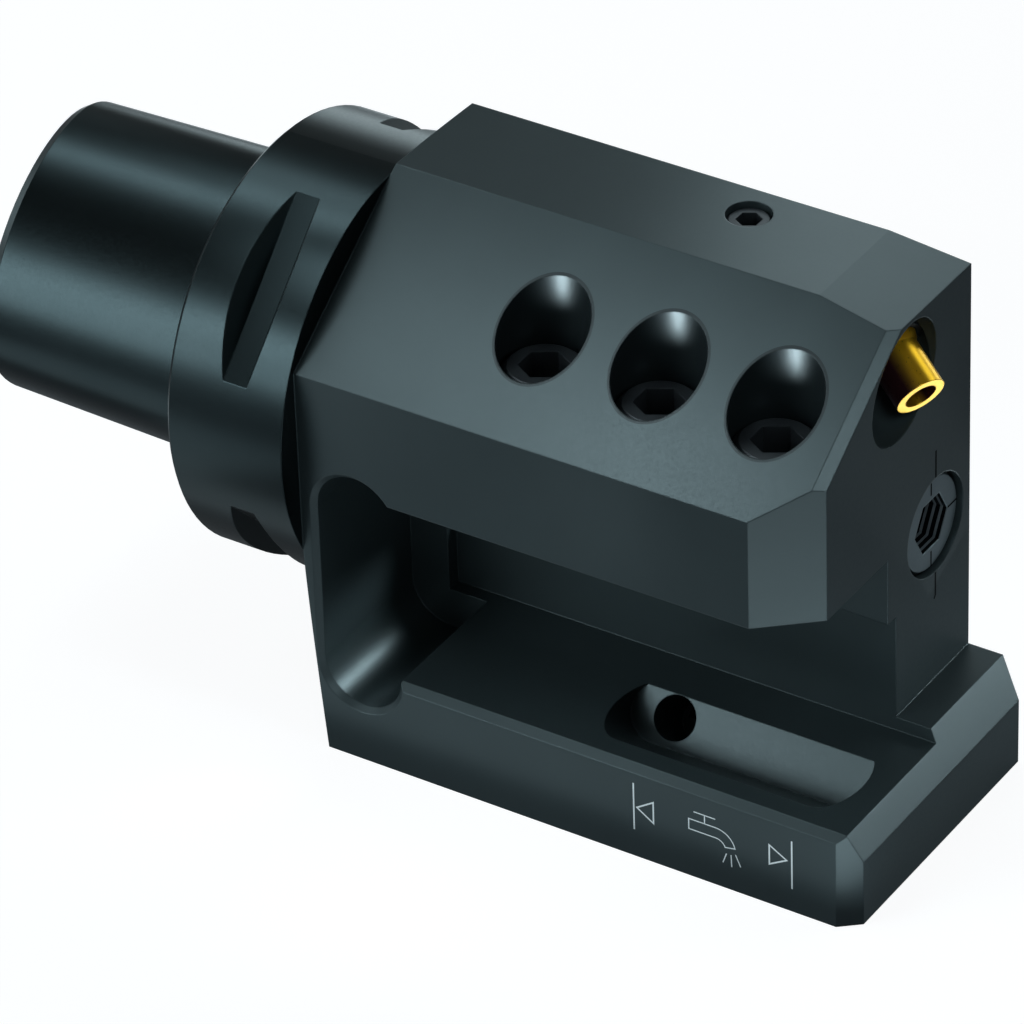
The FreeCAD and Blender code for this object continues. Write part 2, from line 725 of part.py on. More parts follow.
def ring_with_ball_seat(label, low, high):
    """A ring about the ball, hollowed to the ball's own radius plus its clearance."""
    outside = doc.addObject("Part::Cylinder", label + "_outside_form")
    outside.setExpression("Radius", text_of(retainer_diameter / 2 - thread_clearance))
    outside.setExpression("Height", text_of(high - low))
    outside.Placement = Placement(Vector(0, 0, low.value), Rotation())
    outside.setExpression("Placement.Base.z", text_of(low))
    hollow = doc.addObject("Part::Sphere", label + "_hollow_form")
    hollow.setExpression("Radius", text_of(ball_radius + ball_clearance))
    ring = doc.addObject("Part::Cut", label + "_ring_form")
    ring.Base = outside
    ring.Tool = hollow
    return ring


def make_nozzle_rings():
    retainer = ring_with_ball_seat(
        "nozzle_retainer", retainer_front - retainer_length, retainer_front)
    retainer.Label = "nozzle_retainer"
    place(retainer, *ball_place, rotation=facing_nozzle)

    back = retainer_front - retainer_length - pad_gap
    seat = ring_with_ball_seat("nozzle_seat_ring_blank", back - seat_ring_length, back)
    bore = doc.addObject("Part::Cylinder", "seat_ring_bore_form")
    bore.setExpression("Radius", text_of(nozzle_bore / 2))
    bore.setExpression("Height", text_of(seat_ring_length * 4))
    bore.Placement = Placement(Vector(0, 0, -number(seat_ring_length * 3)), Rotation())
    bore.setExpression("Placement.Base.z", text_of(-seat_ring_length * 3))
    ring = doc.addObject("Part::Cut", "nozzle_seat_ring")
    ring.Base = seat
    ring.Tool = bore
    ring.Label = "nozzle_seat_ring"
    place(ring, *ball_place, rotation=facing_nozzle)
    return [retainer, ring]


# Coolant valve: a quarter-turn spindle with two seals and a stop screw

def make_valve():
    shaft = valve_shaft / 2
    head = valve_head / 2
    back = -valve_length
    groove_radius = shaft - valve_groove_depth
    stop_radius = shaft - stop_groove_depth
    bevel = over * 0.4

    def groove(place_along, width, radius):
        start = -place_along
        return [(shaft, start - width / 2), (radius, start - width / 2),
                (radius, start + width / 2), (shaft, start + width / 2)]

    profile = [(0, back), (shaft - bevel, back), (shaft, back + bevel)]
    profile += groove(valve_seal_second, valve_groove, groove_radius)
    profile += groove(stop_groove_place, stop_groove_width, stop_radius)
    profile += groove(valve_seal_first, valve_groove, groove_radius)
    profile += [(shaft, -valve_head_length), (head, -valve_head_length), (head, -bevel),
                (head - bevel, 0), (0, 0)]
    spindle = turned_body("valve_spindle", profile)
    hexagon_socket(spindle, Size(0.0, "0.0"), valve_hex, valve_hex_depth)

    inlet = sketch_on(spindle, "valve_inlet_outline", "XY", back)
    draw_circle(inlet, 0, 0, valve_port / 2)
    pocket(spindle, "valve_inlet", inlet, valve_length - block_front + duct_place + valve_port / 2, True)
    port = sketch_on(spindle, "valve_port_outline", "YZ")
    draw_circle(port, 0, duct_place - valve_place[0], valve_port / 2)
    last = pocket(spindle, "valve_port", port, valve_shaft)
    spindle.Tip = last
    place(spindle, *valve_place, rotation=facing_front)

    pieces = [spindle]
    for word, along in (("front", valve_seal_first), ("rear", valve_seal_second)):
        pieces.append(make_seal(
            "valve_seal_" + word, groove_radius, shaft, valve_groove,
            (valve_place[0] - along, valve_across, -valve_below)))

    radius = stop_thread / 2
    point = stop_point / 2
    seat_depth_here = far_face - valve_across - shaft
    point_length = stop_groove_depth - pad_gap * 2
    length = seat_depth_here - over
    stop = turned_body("valve_stop_screw", [
        (0, -point_length), (point, -point_length), (point, 0), (radius, 0),
        (radius, length - over / 2), (radius - over / 2, length), (0, length)])
    hexagon_socket(stop, length, plug_hex * 0.8, length / 2)
    place(stop, valve_place[0] - stop_groove_place, valve_across + shaft + turn_clearance, -valve_below,
          Rotation(Vector(1, 0, 0), -90))
    pieces.append(stop)
    return pieces


def make_seal(label, inner, outer, width, where):
    """A ring that fills its groove with a rounded, slightly flattened section."""
    margin = pad_gap / 2
    low = width / 2 - margin * 3
    thin = low * 0.5
    body = turned_body(label, [
        (inner + margin, -thin), (inner + margin * 3, -low), (outer - margin * 3, -low),
        (outer - margin, -thin), (outer - margin, thin), (outer - margin * 3, low),
        (inner + margin * 3, low), (inner + margin, thin)])
    return place(body, *where, rotation=facing_front)


# Plugs of the cross-drilled channels

def make_plug(label, where, rotation):
    radius = plug_thread / 2
    bevel = over * 0.4
    body = turned_body(label, [
        (0, -plug_length), (radius - bevel, -plug_length), (radius, bevel - plug_length),
        (radius, -bevel), (radius - bevel, 0), (0, 0)])
    hexagon_socket(body, Size(0.0, "0.0"), plug_hex, plug_hex_depth)
    return place(body, *where, rotation=rotation)


def make_plugs():
    return [
        make_plug("channel_plug_top", (duct_place, duct_across, top_height - plug_sink), Rotation()),
        make_plug("channel_plug_bottom", (slot_hole_start, valve_across, plug_sink - bottom_depth),
                  Rotation(Vector(1, 0, 0), 180)),
        make_plug("channel_plug_side", (slot_hole_start, far_face - plug_sink, -duct_low),
                  Rotation(Vector(1, 0, 0), -90))]


# Coolant tube in the shank

def make_coolant_tube():
    bore = tube_bore / 2
    outside = tube_outside / 2
    collar = tube_collar / 2
    groove = collar - ring_section
    middle = tube_collar_length / 2
    half_groove = ring_section * 0.6
    tube = turned_body("coolant_tube", [
        (bore, -tube_reach), (outside - over / 2, -tube_reach), (outside, over / 2 - tube_reach),
        (outside, 0), (collar, 0), (collar, middle - half_groove), (groove, middle - half_groove),
        (groove, middle + half_groove), (collar, middle + half_groove),
        (collar, tube_collar_length), (bore, tube_collar_length)])
    start = core_bore_end - over - tube_collar_length
    place(tube, start, 0, 0, facing_front)
    seal = make_seal("tube_seal", groove, collar, half_groove * 2, (start + middle, 0, 0))
    return [tube, seal]


pieces = [make_adapter_body()]
for clamp_index, clamp_word in enumerate(("rear", "middle", "front")):
    pieces += make_clamp_set(clamp_word, clamp_index)
pieces.append(make_nozzle())
pieces += make_nozzle_rings()
pieces += make_valve()
pieces += make_plugs()
pieces += make_coolant_tube()

doc.recompute()

for item in doc.Objects:
    if "Invalid" in item.State or "Error" in item.State:
        raise RuntimeError("failed object: " + item.Name + " " + str(item.State))
for piece in pieces:
    if piece.Shape.isNull() or not piece.Shape.isValid():
        raise RuntimeError("bad shape: " + piece.Label)
    if len(piece.Shape.Solids) != 1:
        raise RuntimeError("not one solid: " + piece.Label + " " + str(len(piece.Shape.Solids)))

os.makedirs("parts", exist_ok=True)
for piece in pieces:
    piece.Shape.exportStep("parts/" + piece.Label + ".step")
    box = piece.Shape.BoundBox
    print(piece.Label, "volume", round(piece.Shape.Volume, 1), "box",
          [round(value, 2) for value in (box.XMin, box.YMin, box.ZMin, box.XMax, box.YMax, box.ZMax)])
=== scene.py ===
import json
import math

import bmesh
import bpy
from mathutils import Matrix, Vector


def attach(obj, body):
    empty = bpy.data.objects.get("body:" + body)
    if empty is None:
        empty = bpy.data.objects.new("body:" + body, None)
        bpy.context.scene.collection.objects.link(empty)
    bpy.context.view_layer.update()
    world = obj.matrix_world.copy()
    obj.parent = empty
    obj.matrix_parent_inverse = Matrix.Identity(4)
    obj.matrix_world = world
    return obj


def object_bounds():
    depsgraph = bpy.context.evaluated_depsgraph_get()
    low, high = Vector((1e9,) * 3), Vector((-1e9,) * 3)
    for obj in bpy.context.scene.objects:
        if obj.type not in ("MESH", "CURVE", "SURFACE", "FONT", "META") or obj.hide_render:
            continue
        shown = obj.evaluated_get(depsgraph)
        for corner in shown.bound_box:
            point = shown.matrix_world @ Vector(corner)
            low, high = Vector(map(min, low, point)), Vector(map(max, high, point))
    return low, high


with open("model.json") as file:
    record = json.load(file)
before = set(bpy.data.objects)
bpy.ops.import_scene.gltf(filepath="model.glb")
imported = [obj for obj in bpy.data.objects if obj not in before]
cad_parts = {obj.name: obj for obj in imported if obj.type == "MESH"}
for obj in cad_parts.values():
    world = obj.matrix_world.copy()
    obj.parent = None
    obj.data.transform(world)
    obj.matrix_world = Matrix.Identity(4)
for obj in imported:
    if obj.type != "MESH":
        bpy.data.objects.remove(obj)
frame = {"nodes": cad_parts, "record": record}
cad_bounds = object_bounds()

MM = 0.001
scene = bpy.context.scene

# Camera, fitted to the corners of the block in the photograph

IMAGE_SIDE = 1024
SENSOR_WIDTH = 36.0
CLIP_END = 20.0
CAMERA_AZIMUTH = 33.477
CAMERA_ELEVATION = 34.389
CAMERA_ROLL = -2.011
CAMERA_DISTANCE = 1005.6 * MM
CAMERA_SHIFT = Vector((20.97 * MM, -23.25 * MM))
CAMERA_TARGET = Vector((11.1 * MM, 0.0, 0.0))
FOCAL_PIXELS = 7255.2


def camera_axes():
    """The camera's right, up and back directions."""
    azimuth = math.radians(CAMERA_AZIMUTH)
    elevation = math.radians(CAMERA_ELEVATION)
    roll = math.radians(CAMERA_ROLL)
    level_back = Vector((math.sin(azimuth), -math.cos(azimuth), 0.0))
    back = level_back * math.cos(elevation) + Vector((0.0, 0.0, math.sin(elevation)))
    level = Vector((math.cos(azimuth), math.sin(azimuth), 0.0))
    rise = back.cross(level)
    right = level * math.cos(roll) + rise * math.sin(roll)
    up = rise * math.cos(roll) - level * math.sin(roll)
    return right, up, back


def add_camera():
    right, up, back = camera_axes()
    data = bpy.data.cameras.new("camera")
    data.sensor_width = SENSOR_WIDTH
    data.lens = FOCAL_PIXELS / IMAGE_SIDE * SENSOR_WIDTH
    data.clip_end = CLIP_END
    camera = bpy.data.objects.new("camera", data)
    scene.collection.objects.link(camera)
    place = CAMERA_TARGET + right * CAMERA_SHIFT.x + up * CAMERA_SHIFT.y + back * CAMERA_DISTANCE
    turn = Matrix((right, up, back)).transposed()
    camera.matrix_world = Matrix.Translation(place) @ turn.to_4x4()
    scene.camera = camera


# Materials

CLOUD_SCALE = 0.11
CLOUD_DETAIL = 3.0
GRAIN_DETAIL = 5.0
COARSE_GRAIN = 1.6
FINE_GRAIN = 2.2
NOISE_LOW = 0.3
NOISE_HIGH = 0.7
BUMP_HEIGHT = 0.03 * MM
BEVEL_SAMPLES = 6
SOFT_EDGE = 0.25 * MM
SMALL_EDGE = 0.2 * MM
FIRST_MIX_SOCKET = {"RGBA": 6, "FLOAT": 2}
MIX_RESULT = {"RGBA": 2, "FLOAT": 0}


class Nodes:
    """A small helper that adds nodes to a material and links them."""

    def __init__(self, name):
        self.material = bpy.data.materials.new(name)
        self.material.use_nodes = True
        self.tree = self.material.node_tree
        self.shader = self.tree.nodes["Principled BSDF"]

    def add(self, kind, **values):
        node = self.tree.nodes.new(kind)
        for name, value in values.items():
            setattr(node, name, value)
        return node

    def link(self, source, target):
        self.tree.links.new(source, target)

    def feed(self, sockets, values):
        """Link each value to its socket, or set it there when it is a number, a point or a colour."""
        for socket, value in zip(sockets, values):
            if isinstance(value, bpy.types.NodeSocket):
                self.link(value, socket)
            elif socket.type == "RGBA":
                socket.default_value = (*value, 1.0)
            else:
                socket.default_value = value

    def shade(self, **values):
        """Feed the shader's own sockets, named with underscores for spaces."""
        sockets = [self.shader.inputs[name.replace("_", " ")] for name in values]
        self.feed(sockets, values.values())

    def noise(self, scale, detail):
        """Noise over the object's own coordinates, in millimetres."""
        place = self.add("ShaderNodeTexCoord")
        mapping = self.add("ShaderNodeMapping")
        mapping.inputs["Scale"].default_value = (1.0 / MM, 1.0 / MM, 1.0 / MM)
        self.link(place.outputs["Object"], mapping.inputs["Vector"])
        noise = self.add("ShaderNodeTexNoise")
        noise.inputs["Scale"].default_value = scale
        noise.inputs["Detail"].default_value = detail
        self.link(mapping.outputs["Vector"], noise.inputs["Vector"])
        return noise.outputs["Fac"]

    def cloud(self):
        """A slow wander between zero and one."""
        return self.spread(self.noise(CLOUD_SCALE, CLOUD_DETAIL), 0.0, 1.0)

    def spread(self, source, low, high, least=NOISE_LOW, most=NOISE_HIGH):
        """Map a value, by default a noise around its middle, onto the range."""
        node = self.add("ShaderNodeMapRange")
        node.inputs["From Min"].default_value = least
        node.inputs["From Max"].default_value = most
        node.inputs["To Min"].default_value = low
        node.inputs["To Max"].default_value = high
        self.link(source, node.inputs["Value"])
        return node.outputs["Result"]

    def blend(self, factor, first, second, kind="RGBA"):
        """Mix two colours, or two values where the kind says so."""
        node = self.add("ShaderNodeMix", data_type=kind)
        start = FIRST_MIX_SOCKET[kind]
        self.feed((node.inputs[start], node.inputs[start + 1]), (first, second))
        self.link(factor, node.inputs[0])
        return node.outputs[MIX_RESULT[kind]]

    def calculate(self, operation, *terms):
        node = self.add("ShaderNodeMath", operation=operation)
        self.feed(node.inputs, terms)
        return node.outputs["Value"]

    def compare(self, operation, result, *terms):
        """A vector operation and the output that holds its result."""
        node = self.add("ShaderNodeVectorMath", operation=operation)
        self.feed(node.inputs, terms)
        return node.outputs[result]

    def own(self, kind):
        """The object's own coordinates or normal."""
        return self.add("ShaderNodeTexCoord").outputs[kind]

    def along(self, axis):
        """The object's own coordinate on one axis, in metres."""
        split = self.add("ShaderNodeSeparateXYZ")
        self.link(self.own("Object"), split.inputs["Vector"])
        return split.outputs[axis]

    def beyond(self, limit, axis="X"):
        """One where the object's own coordinate is beyond the limit in metres, else zero."""
        return self.calculate("GREATER_THAN", self.along(axis), limit)

    def relief(self, height, strength, edge):
        """A bump on top of softened edges."""
        bump = self.add("ShaderNodeBump")
        bump.inputs["Strength"].default_value = strength
        bump.inputs["Distance"].default_value = BUMP_HEIGHT
        self.link(height, bump.inputs["Height"])
        if edge:
            bevel = self.add("ShaderNodeBevel", samples=BEVEL_SAMPLES)
            bevel.inputs["Radius"].default_value = edge
            self.link(bevel.outputs["Normal"], bump.inputs["Normal"])
        self.link(bump.outputs["Normal"], self.shader.inputs["Normal"])


def plain(name, dark, light, rough, metallic=1.0, edge=SOFT_EDGE, gloss=0.5):
    """A material whose colour and roughness wander a little, with a fine grain."""
    nodes = Nodes(name)
    grain = nodes.noise(COARSE_GRAIN, GRAIN_DETAIL)
    nodes.shade(
        Base_Color=nodes.blend(nodes.cloud(), dark, light), Roughness=nodes.spread(grain, *rough),
        Metallic=metallic, Specular_IOR_Level=gloss)
    nodes.relief(grain, strength=0.06, edge=edge)
    return nodes.material


BORES = ("rear", "middle", "front")
FLANGE_FRONT = 19.05 * MM
BORE_WALL = 6.9 * MM
BORE_END = 2.0 * MM
LEVEL = (1.0, 1.0, 0.0)


def screw_place(where):
    """The middle and the highest point of a clamp screw, in metres."""
    screw = frame["nodes"]["clamp_screw_" + where]
    corners = [screw.matrix_world @ Vector(corner) for corner in screw.bound_box]
    return sum(corners, Vector()) / len(corners), max(corner.z for corner in corners)


def painted_bore_shade(nodes):
    """One on the walls of the screws' bores, where the block gets painted shade, else zero."""
    level = nodes.compare("MULTIPLY", "Vector", nodes.own("Object"), LEVEL)
    middles = [screw_place(where)[0] for where in BORES]
    apart = [nodes.compare("DISTANCE", "Value", level, (middle.x, middle.y, 0.0)) for middle in middles]
    nearest = nodes.calculate("MINIMUM", nodes.calculate("MINIMUM", apart[0], apart[1]), apart[2])
    inside = nodes.calculate("LESS_THAN", nearest, BORE_WALL)
    return nodes.calculate("MULTIPLY", inside, nodes.beyond(BORE_END, "Z"))


def blackened_steel():
    """The ground shank and flange are smoother and darker than the milled block in front of them; the bores'
    walls carry painted shade.
    """
    nodes = Nodes("blackened_steel")
    milled = nodes.beyond(FLANGE_FRONT)
    cloud = nodes.cloud()
    grain = nodes.noise(FINE_GRAIN, GRAIN_DETAIL)
    ground_colour = nodes.blend(cloud, (0.029, 0.0395, 0.0425), (0.031, 0.0415, 0.0445))
    milled_colour = nodes.blend(cloud, (0.044, 0.060, 0.065), (0.047, 0.064, 0.069))
    # The walls of the screws' bores are painted nearly black: painted shade in the recesses.
    block_colour_with_bore_shade = nodes.blend(painted_bore_shade(nodes), milled_colour, (0.020, 0.027, 0.030))
    ground_rough = nodes.spread(grain, 0.28, 0.33)
    milled_rough = nodes.spread(grain, 0.35, 0.41)
    nodes.shade(
        Base_Color=nodes.blend(milled, ground_colour, block_colour_with_bore_shade),
        Roughness=nodes.blend(milled, ground_rough, milled_rough, "FLOAT"),
        Metallic=nodes.blend(milled, 1.0, 0.5, "FLOAT"))
    nodes.relief(grain, strength=0.05, edge=SOFT_EDGE)
    return nodes.material


VALVE_FACE = 97.3 * MM
VALVE_FACE_SKIN = 0.12 * MM
SOCKET_STEP = 1.05 * MM
SOCKET_SHADED_SHARE = 0.6


def satin_steel():
    """Satin steel, with painted light and shade standing for the machined steps inside the hexagon socket, as
    dark and light bands.
    """
    nodes = Nodes("satin_steel")
    grain = nodes.noise(FINE_GRAIN, GRAIN_DETAIL)
    # Inside the socket, bands of painted shade and painted highlight stand for the shaded and lit machined
    # steps.
    depth = nodes.calculate("MULTIPLY_ADD", nodes.along("X"), -1.0 / SOCKET_STEP, VALVE_FACE / SOCKET_STEP)
    light = nodes.calculate("GREATER_THAN", nodes.calculate("FRACT", depth), SOCKET_SHADED_SHARE)
    socket = nodes.blend(light, (0.006, 0.007, 0.009), (0.45, 0.50, 0.54))
    satin = nodes.blend(nodes.cloud(), (0.18, 0.22, 0.24), (0.21, 0.25, 0.27))
    nodes.shade(
        Base_Color=nodes.blend(nodes.beyond(VALVE_FACE - VALVE_FACE_SKIN), socket, satin),
        Roughness=nodes.spread(grain, 0.30, 0.38), Metallic=0.8)
    nodes.relief(grain, strength=0.05, edge=SMALL_EDGE)
    return nodes.material


# The direction of the nozzle's side that gets painted brown shade.
SHADED_SIDE = (-0.78, -0.55, -0.30)
SHADE_START = -0.27
SHADE_FULL = 0.30


def brass():
    """Golden brass, with painted brown shade on the side turned towards the shank."""
    nodes = Nodes("brass")
    grain = nodes.noise(FINE_GRAIN, GRAIN_DETAIL)
    # Painted shade: the brass turns brown on its side towards the shank and down.
    facing = nodes.compare("DOT_PRODUCT", "Value", nodes.own("Normal"), SHADED_SIDE)
    painted_shade = nodes.spread(facing, 0.0, 1.0, SHADE_START, SHADE_FULL)
    gold = nodes.blend(nodes.cloud(), (1.0, 0.52, 0.02), (1.0, 0.57, 0.03))
    nodes.shade(
        Base_Color=nodes.blend(painted_shade, gold, (0.15, 0.045, 0.055)),
        Roughness=nodes.spread(grain, 0.27, 0.33), Metallic=0.9)
    nodes.relief(grain, strength=0.01, edge=SMALL_EDGE)
    return nodes.material


materials = {
    "blackened_steel": blackened_steel(),
    "satin_steel": satin_steel(),
    "brass": brass(),
    "screw_steel": plain(
        "screw_steel", dark=(0.032, 0.036, 0.041), light=(0.040, 0.045, 0.051), rough=(0.30, 0.38),
        metallic=0.5),
    "bright_steel": plain(
        "bright_steel", dark=(0.40, 0.41, 0.42), light=(0.48, 0.49, 0.50), rough=(0.20, 0.30)),
    "seal_ring": plain(
        "seal_ring", dark=(0.62, 0.58, 0.50), light=(0.70, 0.67, 0.60), rough=(0.45, 0.55), metallic=0.0),
    "rubber": plain(
        "rubber", dark=(0.012, 0.012, 0.013), light=(0.020, 0.020, 0.021), rough=(0.5, 0.65), metallic=0.0),
    "etched_line": plain(
        "etched_line", dark=(0.80, 0.84, 0.86), light=(0.90, 0.93, 0.95), rough=(0.35, 0.45), metallic=0.3,
        edge=0.0),
    "cut_line": plain(
        "cut_line", dark=(0.004, 0.004, 0.005), light=(0.007, 0.007, 0.008), rough=(0.6, 0.7), metallic=0.0,
        edge=0.0, gloss=0.05),
}

slots = {entry["node"]: entry["material_slot"] for entry in frame["record"]["subparts"]}
for node_name, node in frame["nodes"].items():
    node.data.materials.clear()
    node.data.materials.append(materials[slots[node_name]])


# Engraved lines, as thin strips that lie on the faces of the block

LINE_LIFT = 0.015 * MM
NEAR_FACE = -27.5 * MM
FRONT_FACE = 98.0 * MM
VALVE_MIDDLE = (8.1, -5.4)
SHARPEST_CORNER = 0.35


def on_near_face(across, height):
    return Vector((across * MM, NEAR_FACE - LINE_LIFT, height * MM))


def on_front_face(across, height):
    return Vector((FRONT_FACE + LINE_LIFT, across * MM, height * MM))


def on_valve_face(across, height):
    return Vector((VALVE_FACE + LINE_LIFT, across * MM, height * MM))


def joint_offset(before, point, after, half):
    """How far the strip's left edge lies from its middle line at one point."""
    first = (point - before).normalized() if before is not None else (after - point).normalized()
    second = (after - point).normalized() if after is not None else first
    tangent = (first + second).normalized()
    normal = Vector((-tangent.y, tangent.x))
    square = Vector((-first.y, first.x))
    return normal * half / max(normal.dot(square), SHARPEST_CORNER)


def add_strokes(name, strokes, to_face, width, body, material):
    """Join strokes, each a list of points in millimetres on a face, into one flat piece."""
    mesh = bmesh.new()
    for points, closed in strokes:
        line = [Vector(point) for point in points]
        count = len(line)
        pairs = []
        for index, point in enumerate(line):
            before = line[index - 1] if index or closed else None
            after = line[(index + 1) % count] if index + 1 < count or closed else None
            offset = joint_offset(before, point, after, width / 2)
            pairs.append([mesh.verts.new(to_face(*(point + side * offset))) for side in (1, -1)])
        if closed:
            pairs.append(pairs[0])
        for first, second in zip(pairs, pairs[1:]):
            mesh.faces.new((first[0], first[1], second[1], second[0]))
    data = bpy.data.meshes.new(name)
    mesh.to_mesh(data)
    mesh.free()
    piece = bpy.data.objects.new(name, data)
    scene.collection.objects.link(piece)
    data.materials.append(materials[material])
    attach(piece, body)


def arc_points(middle, radius, start, end, steps):
    """Points on an arc between two angles in degrees."""
    turns = [math.radians(start + (end - start) * step / steps) for step in range(steps + 1)]
    return [(middle[0] + radius * math.cos(turn), middle[1] + radius * math.sin(turn)) for turn in turns]


def add_coolant_marks():
    """The marks for opening and closing the coolant, with a tap between them."""
    open_bar = [(71.5, -35.5), (71.5, -43.3)]
    open_arrow = [(72.0, -39.45), (74.6, -37.7), (74.6, -41.2)]
    close_arrow = [(92.8, -37.9), (95.5, -39.5), (92.8, -41.1)]
    close_bar = [(96.3, -36.0), (96.3, -44.0)]
    marks = [(open_bar, False), (open_arrow, True), (close_arrow, True), (close_bar, False)]
    add_strokes("flow_marks", marks, on_near_face, 0.24, "adapter", "etched_line")
    spout_outside = arc_points(middle=(84.4, -41.3), radius=3.1, start=90, end=12, steps=8)
    spout_inside = arc_points(middle=(84.4, -41.5), radius=1.6, start=20, end=90, steps=6)
    pipe = [(80.2, -38.2), *spout_outside, *spout_inside, (80.2, -39.9)]
    handle = [(81.0, -36.8), (84.4, -36.8)]
    stem = [(82.7, -36.8), (82.7, -38.2)]
    jets = [[(86.1, -41.9), (85.5, -43.6)], [(86.8, -41.9), (86.9, -43.9)], [(87.5, -41.6), (88.3, -43.4)]]
    tap = [(pipe, True)] + [(line, False) for line in (handle, stem, *jets)]
    add_strokes("tap_mark", tap, on_near_face, 0.18, "adapter", "etched_line")


def add_index_lines():
    """The lines on the valve's face and on the block around it that show how far the valve is turned."""
    across, height = VALVE_MIDDLE
    above = [(across, height + 12.1), (across, height + 7.7)]
    below = [(across, height - 7.7), (across, height - 11.4), (across - 0.35, height - 11.9)]
    block = [(above, False), (below, False)]
    add_strokes("index_lines_block", block, on_front_face, 0.42, "adapter", "cut_line")
    outside, inside = 7.0, 4.5
    directions = ((0, 1), (0, -1), (1, 0))
    valve = [
        ([(across + side * reach, height + rise * reach) for reach in (outside, inside)], False)
        for side, rise in directions]
    add_strokes("index_lines_valve", valve, on_valve_face, 0.36, "valve", "cut_line")


# Floor and surroundings

WHITE = (1.0, 1.0, 1.0, 1.0)
FLOOR_SIDE = 6.0
FLOOR_GAP = 0.02 * MM
FLOOR_SHOWN = 0.9
FLOOR_IN_METAL = 0.045
FLOOR_BOUNCE = (0.22, 0.23, 0.25, 1.0)
ROOM_SHOWN = 1.0
ROOM_IN_METAL = 0.05
ROOM_LIGHT = 0.04


def ray_strength(tree, shown, in_metal, otherwise):
    """A strength for what the camera sees, for what metal and glass show, and for the light on the object."""
    rays = tree.nodes.new("ShaderNodeLightPath")
    both = tree.nodes.new("ShaderNodeMath")
    both.operation = "MAXIMUM"
    tree.links.new(rays.outputs["Is Glossy Ray"], both.inputs[0])
    tree.links.new(rays.outputs["Is Transmission Ray"], both.inputs[1])
    first = FIRST_MIX_SOCKET["FLOAT"]
    inner = tree.nodes.new("ShaderNodeMix")
    inner.inputs[first].default_value = otherwise
    inner.inputs[first + 1].default_value = in_metal
    tree.links.new(both.outputs["Value"], inner.inputs[0])
    outer = tree.nodes.new("ShaderNodeMix")
    outer.inputs[first + 1].default_value = shown
    tree.links.new(rays.outputs["Is Camera Ray"], outer.inputs[0])
    tree.links.new(inner.outputs[0], outer.inputs[first])
    return outer.outputs[0]


def add_floor():
    bpy.ops.mesh.primitive_plane_add(size=FLOOR_SIDE, location=(0.0, 0.0, cad_bounds[0].z - FLOOR_GAP))
    floor = bpy.context.object
    floor.name = "floor"
    nodes = Nodes("pale_floor")
    shown = nodes.add("ShaderNodeEmission")
    shown.inputs["Color"].default_value = WHITE
    nodes.link(ray_strength(nodes.tree, FLOOR_SHOWN, FLOOR_IN_METAL, 0.0), shown.inputs["Strength"])
    matt = nodes.add("ShaderNodeBsdfDiffuse")
    matt.inputs["Color"].default_value = FLOOR_BOUNCE
    both = nodes.add("ShaderNodeAddShader")
    nodes.link(shown.outputs["Emission"], both.inputs[0])
    nodes.link(matt.outputs["BSDF"], both.inputs[1])
    nodes.link(both.outputs["Shader"], nodes.tree.nodes["Material Output"].inputs["Surface"])
    floor.data.materials.append(nodes.material)


def add_world():
    world = bpy.data.worlds.new("studio")
    scene.world = world
    world.use_nodes = True
    background = world.node_tree.nodes["Background"]
    background.inputs["Color"].default_value = WHITE
    strength = ray_strength(world.node_tree, ROOM_SHOWN, ROOM_IN_METAL, ROOM_LIGHT)
    world.node_tree.links.new(strength, background.inputs["Strength"])


# Lights: the directions are the ones in which the photograph's camera sees a lamp mirrored in the named face

LAMP_COLOUR = (0.84, 1.0, 1.04)
CARD_HEIGHT = -45.5
OVER_SLOPE = (-0.43, -0.32, 0.84)
OVER_TOP = (-0.43, 0.69, 0.58)
OVER_FLANGE = (-0.455, 0.255, 0.852)
OVER_SHANK = (-0.455, 0.02, 0.89)
OVER_STRIP = (0.62, -0.25, 0.745)
BESIDE_SHANK = (-0.52, -0.84, 0.12)
BEFORE_RIM = (0.25, 0.42, -0.87)
BEFORE_POCKET_EDGE = (0.54, -0.72, 0.43)
ALONG_POCKET = (0.565, 0.688, 0.455)
ACROSS_BORE = (-0.218, -0.748, -0.565)
X_AXIS = (1.0, 0.0, 0.0)
Y_AXIS = (0.0, 1.0, 0.0)
DOWN = (0.0, 0.0, -1.0)
BORE_RADIUS = 6.6
BORE_CHORD = 2.1 * BORE_RADIUS * MM
STREAK_ACROSS = -0.16
STREAK_DEEP = 0.97
STREAK_ABOVE_SCREW = 12.3


def towards(azimuth, elevation):
    """The direction at an azimuth from +X and an elevation, in degrees."""
    turn, rise = math.radians(azimuth), math.radians(elevation)
    return (math.cos(turn) * math.cos(rise), math.sin(turn) * math.cos(rise), math.sin(rise))


def add_lamp(name, aim, direction, distance, size, power, along=X_AXIS, beam=180.0):
    """A soft lamp that lies in a direction from the point in millimetres that it aims at."""
    data = bpy.data.lights.new(name, "AREA")
    data.shape = "RECTANGLE"
    data.size, data.size_y = size
    data.energy = power
    data.color = LAMP_COLOUR
    data.spread = math.radians(beam)
    lamp = bpy.data.objects.new(name, data)
    scene.collection.objects.link(lamp)
    back = Vector(direction).normalized()
    width = Vector(along) - back * back.dot(Vector(along))
    width.normalize()
    turn = Matrix((width, back.cross(width), back)).transposed()
    lamp.matrix_world = Matrix.Translation(Vector(aim) * MM + back * distance) @ turn.to_4x4()
    lamp.visible_camera = False


def add_card(name, across, deep, size, power):
    """A weak light that lies on the floor and shines up, like a white card, at a place in millimetres."""
    add_lamp(name, (across, deep, CARD_HEIGHT), DOWN, 0.0, size, power)


